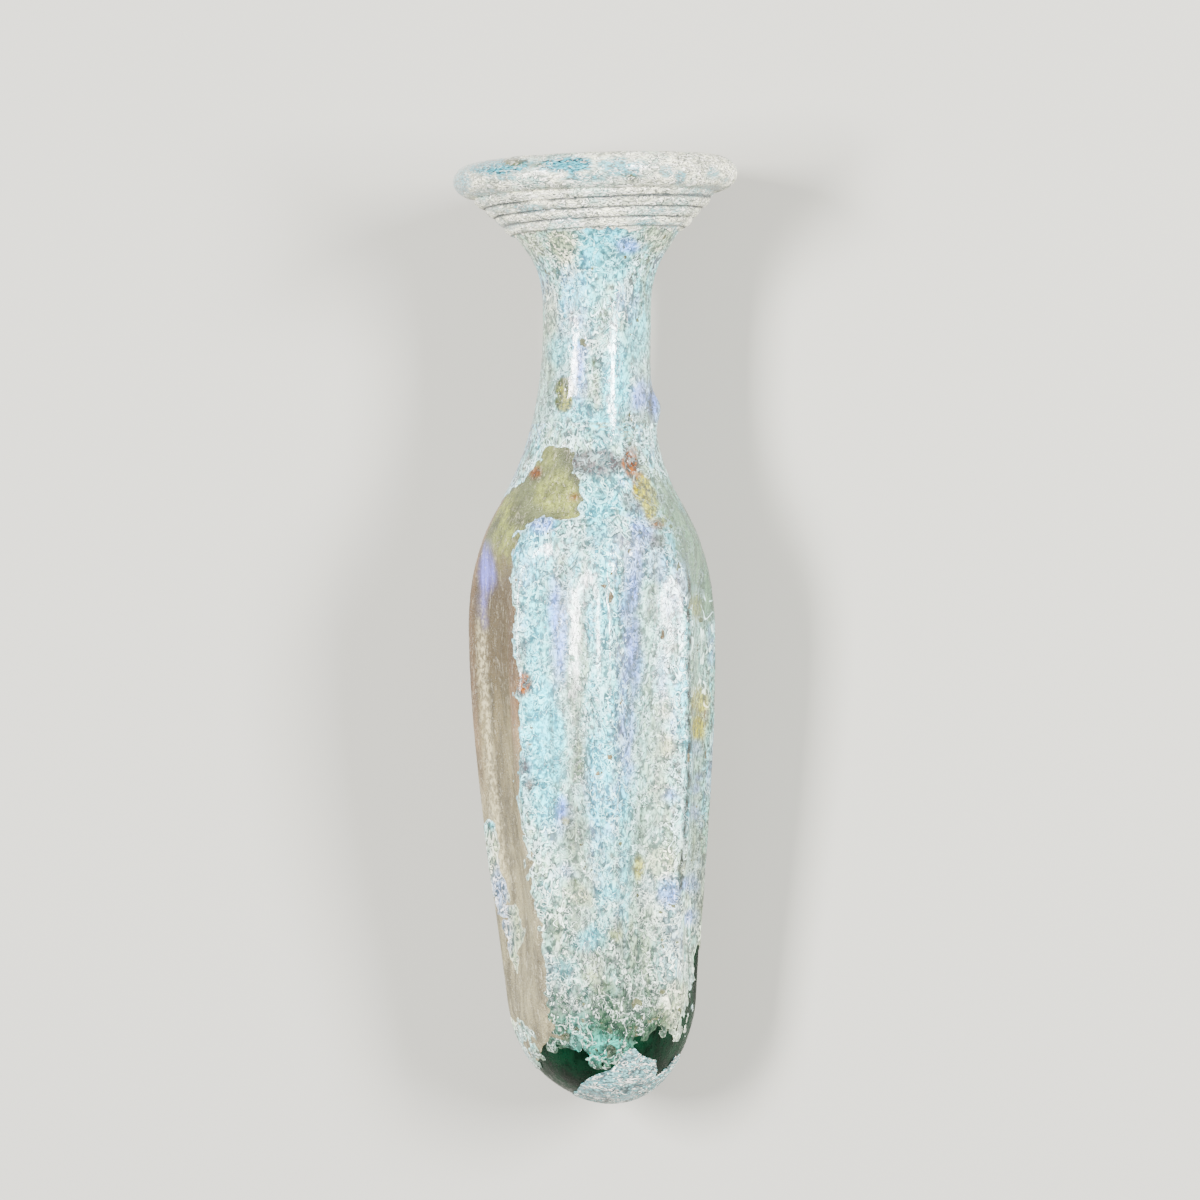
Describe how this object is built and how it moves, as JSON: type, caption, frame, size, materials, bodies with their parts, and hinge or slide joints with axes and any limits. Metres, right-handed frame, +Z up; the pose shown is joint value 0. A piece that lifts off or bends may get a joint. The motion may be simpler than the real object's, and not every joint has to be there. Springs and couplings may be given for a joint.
{
  "type": "ancient glass flask",
  "caption": "Slender fluted flask of weathered blown glass with a narrow neck, a wide flared mouth with a wound thread under its lip, and a rounded base, lying on its side.",
  "frame": {"origin": "on the ground under the middle of the lying flask's box", "axes": "+Y along the flask towards its mouth, +Z up, +X to the right of someone who looks down with the mouth away from them"},
  "size_m": [0.039, 0.1304, 0.0387],
  "materials": {
    "weathered_glass": "weathered: milky iridescent film and pale crust over bottle green glass"
  },
  "bodies": {
    "root": {"glass_juglet": "weathered_glass"}
  },
  "joints": []
}
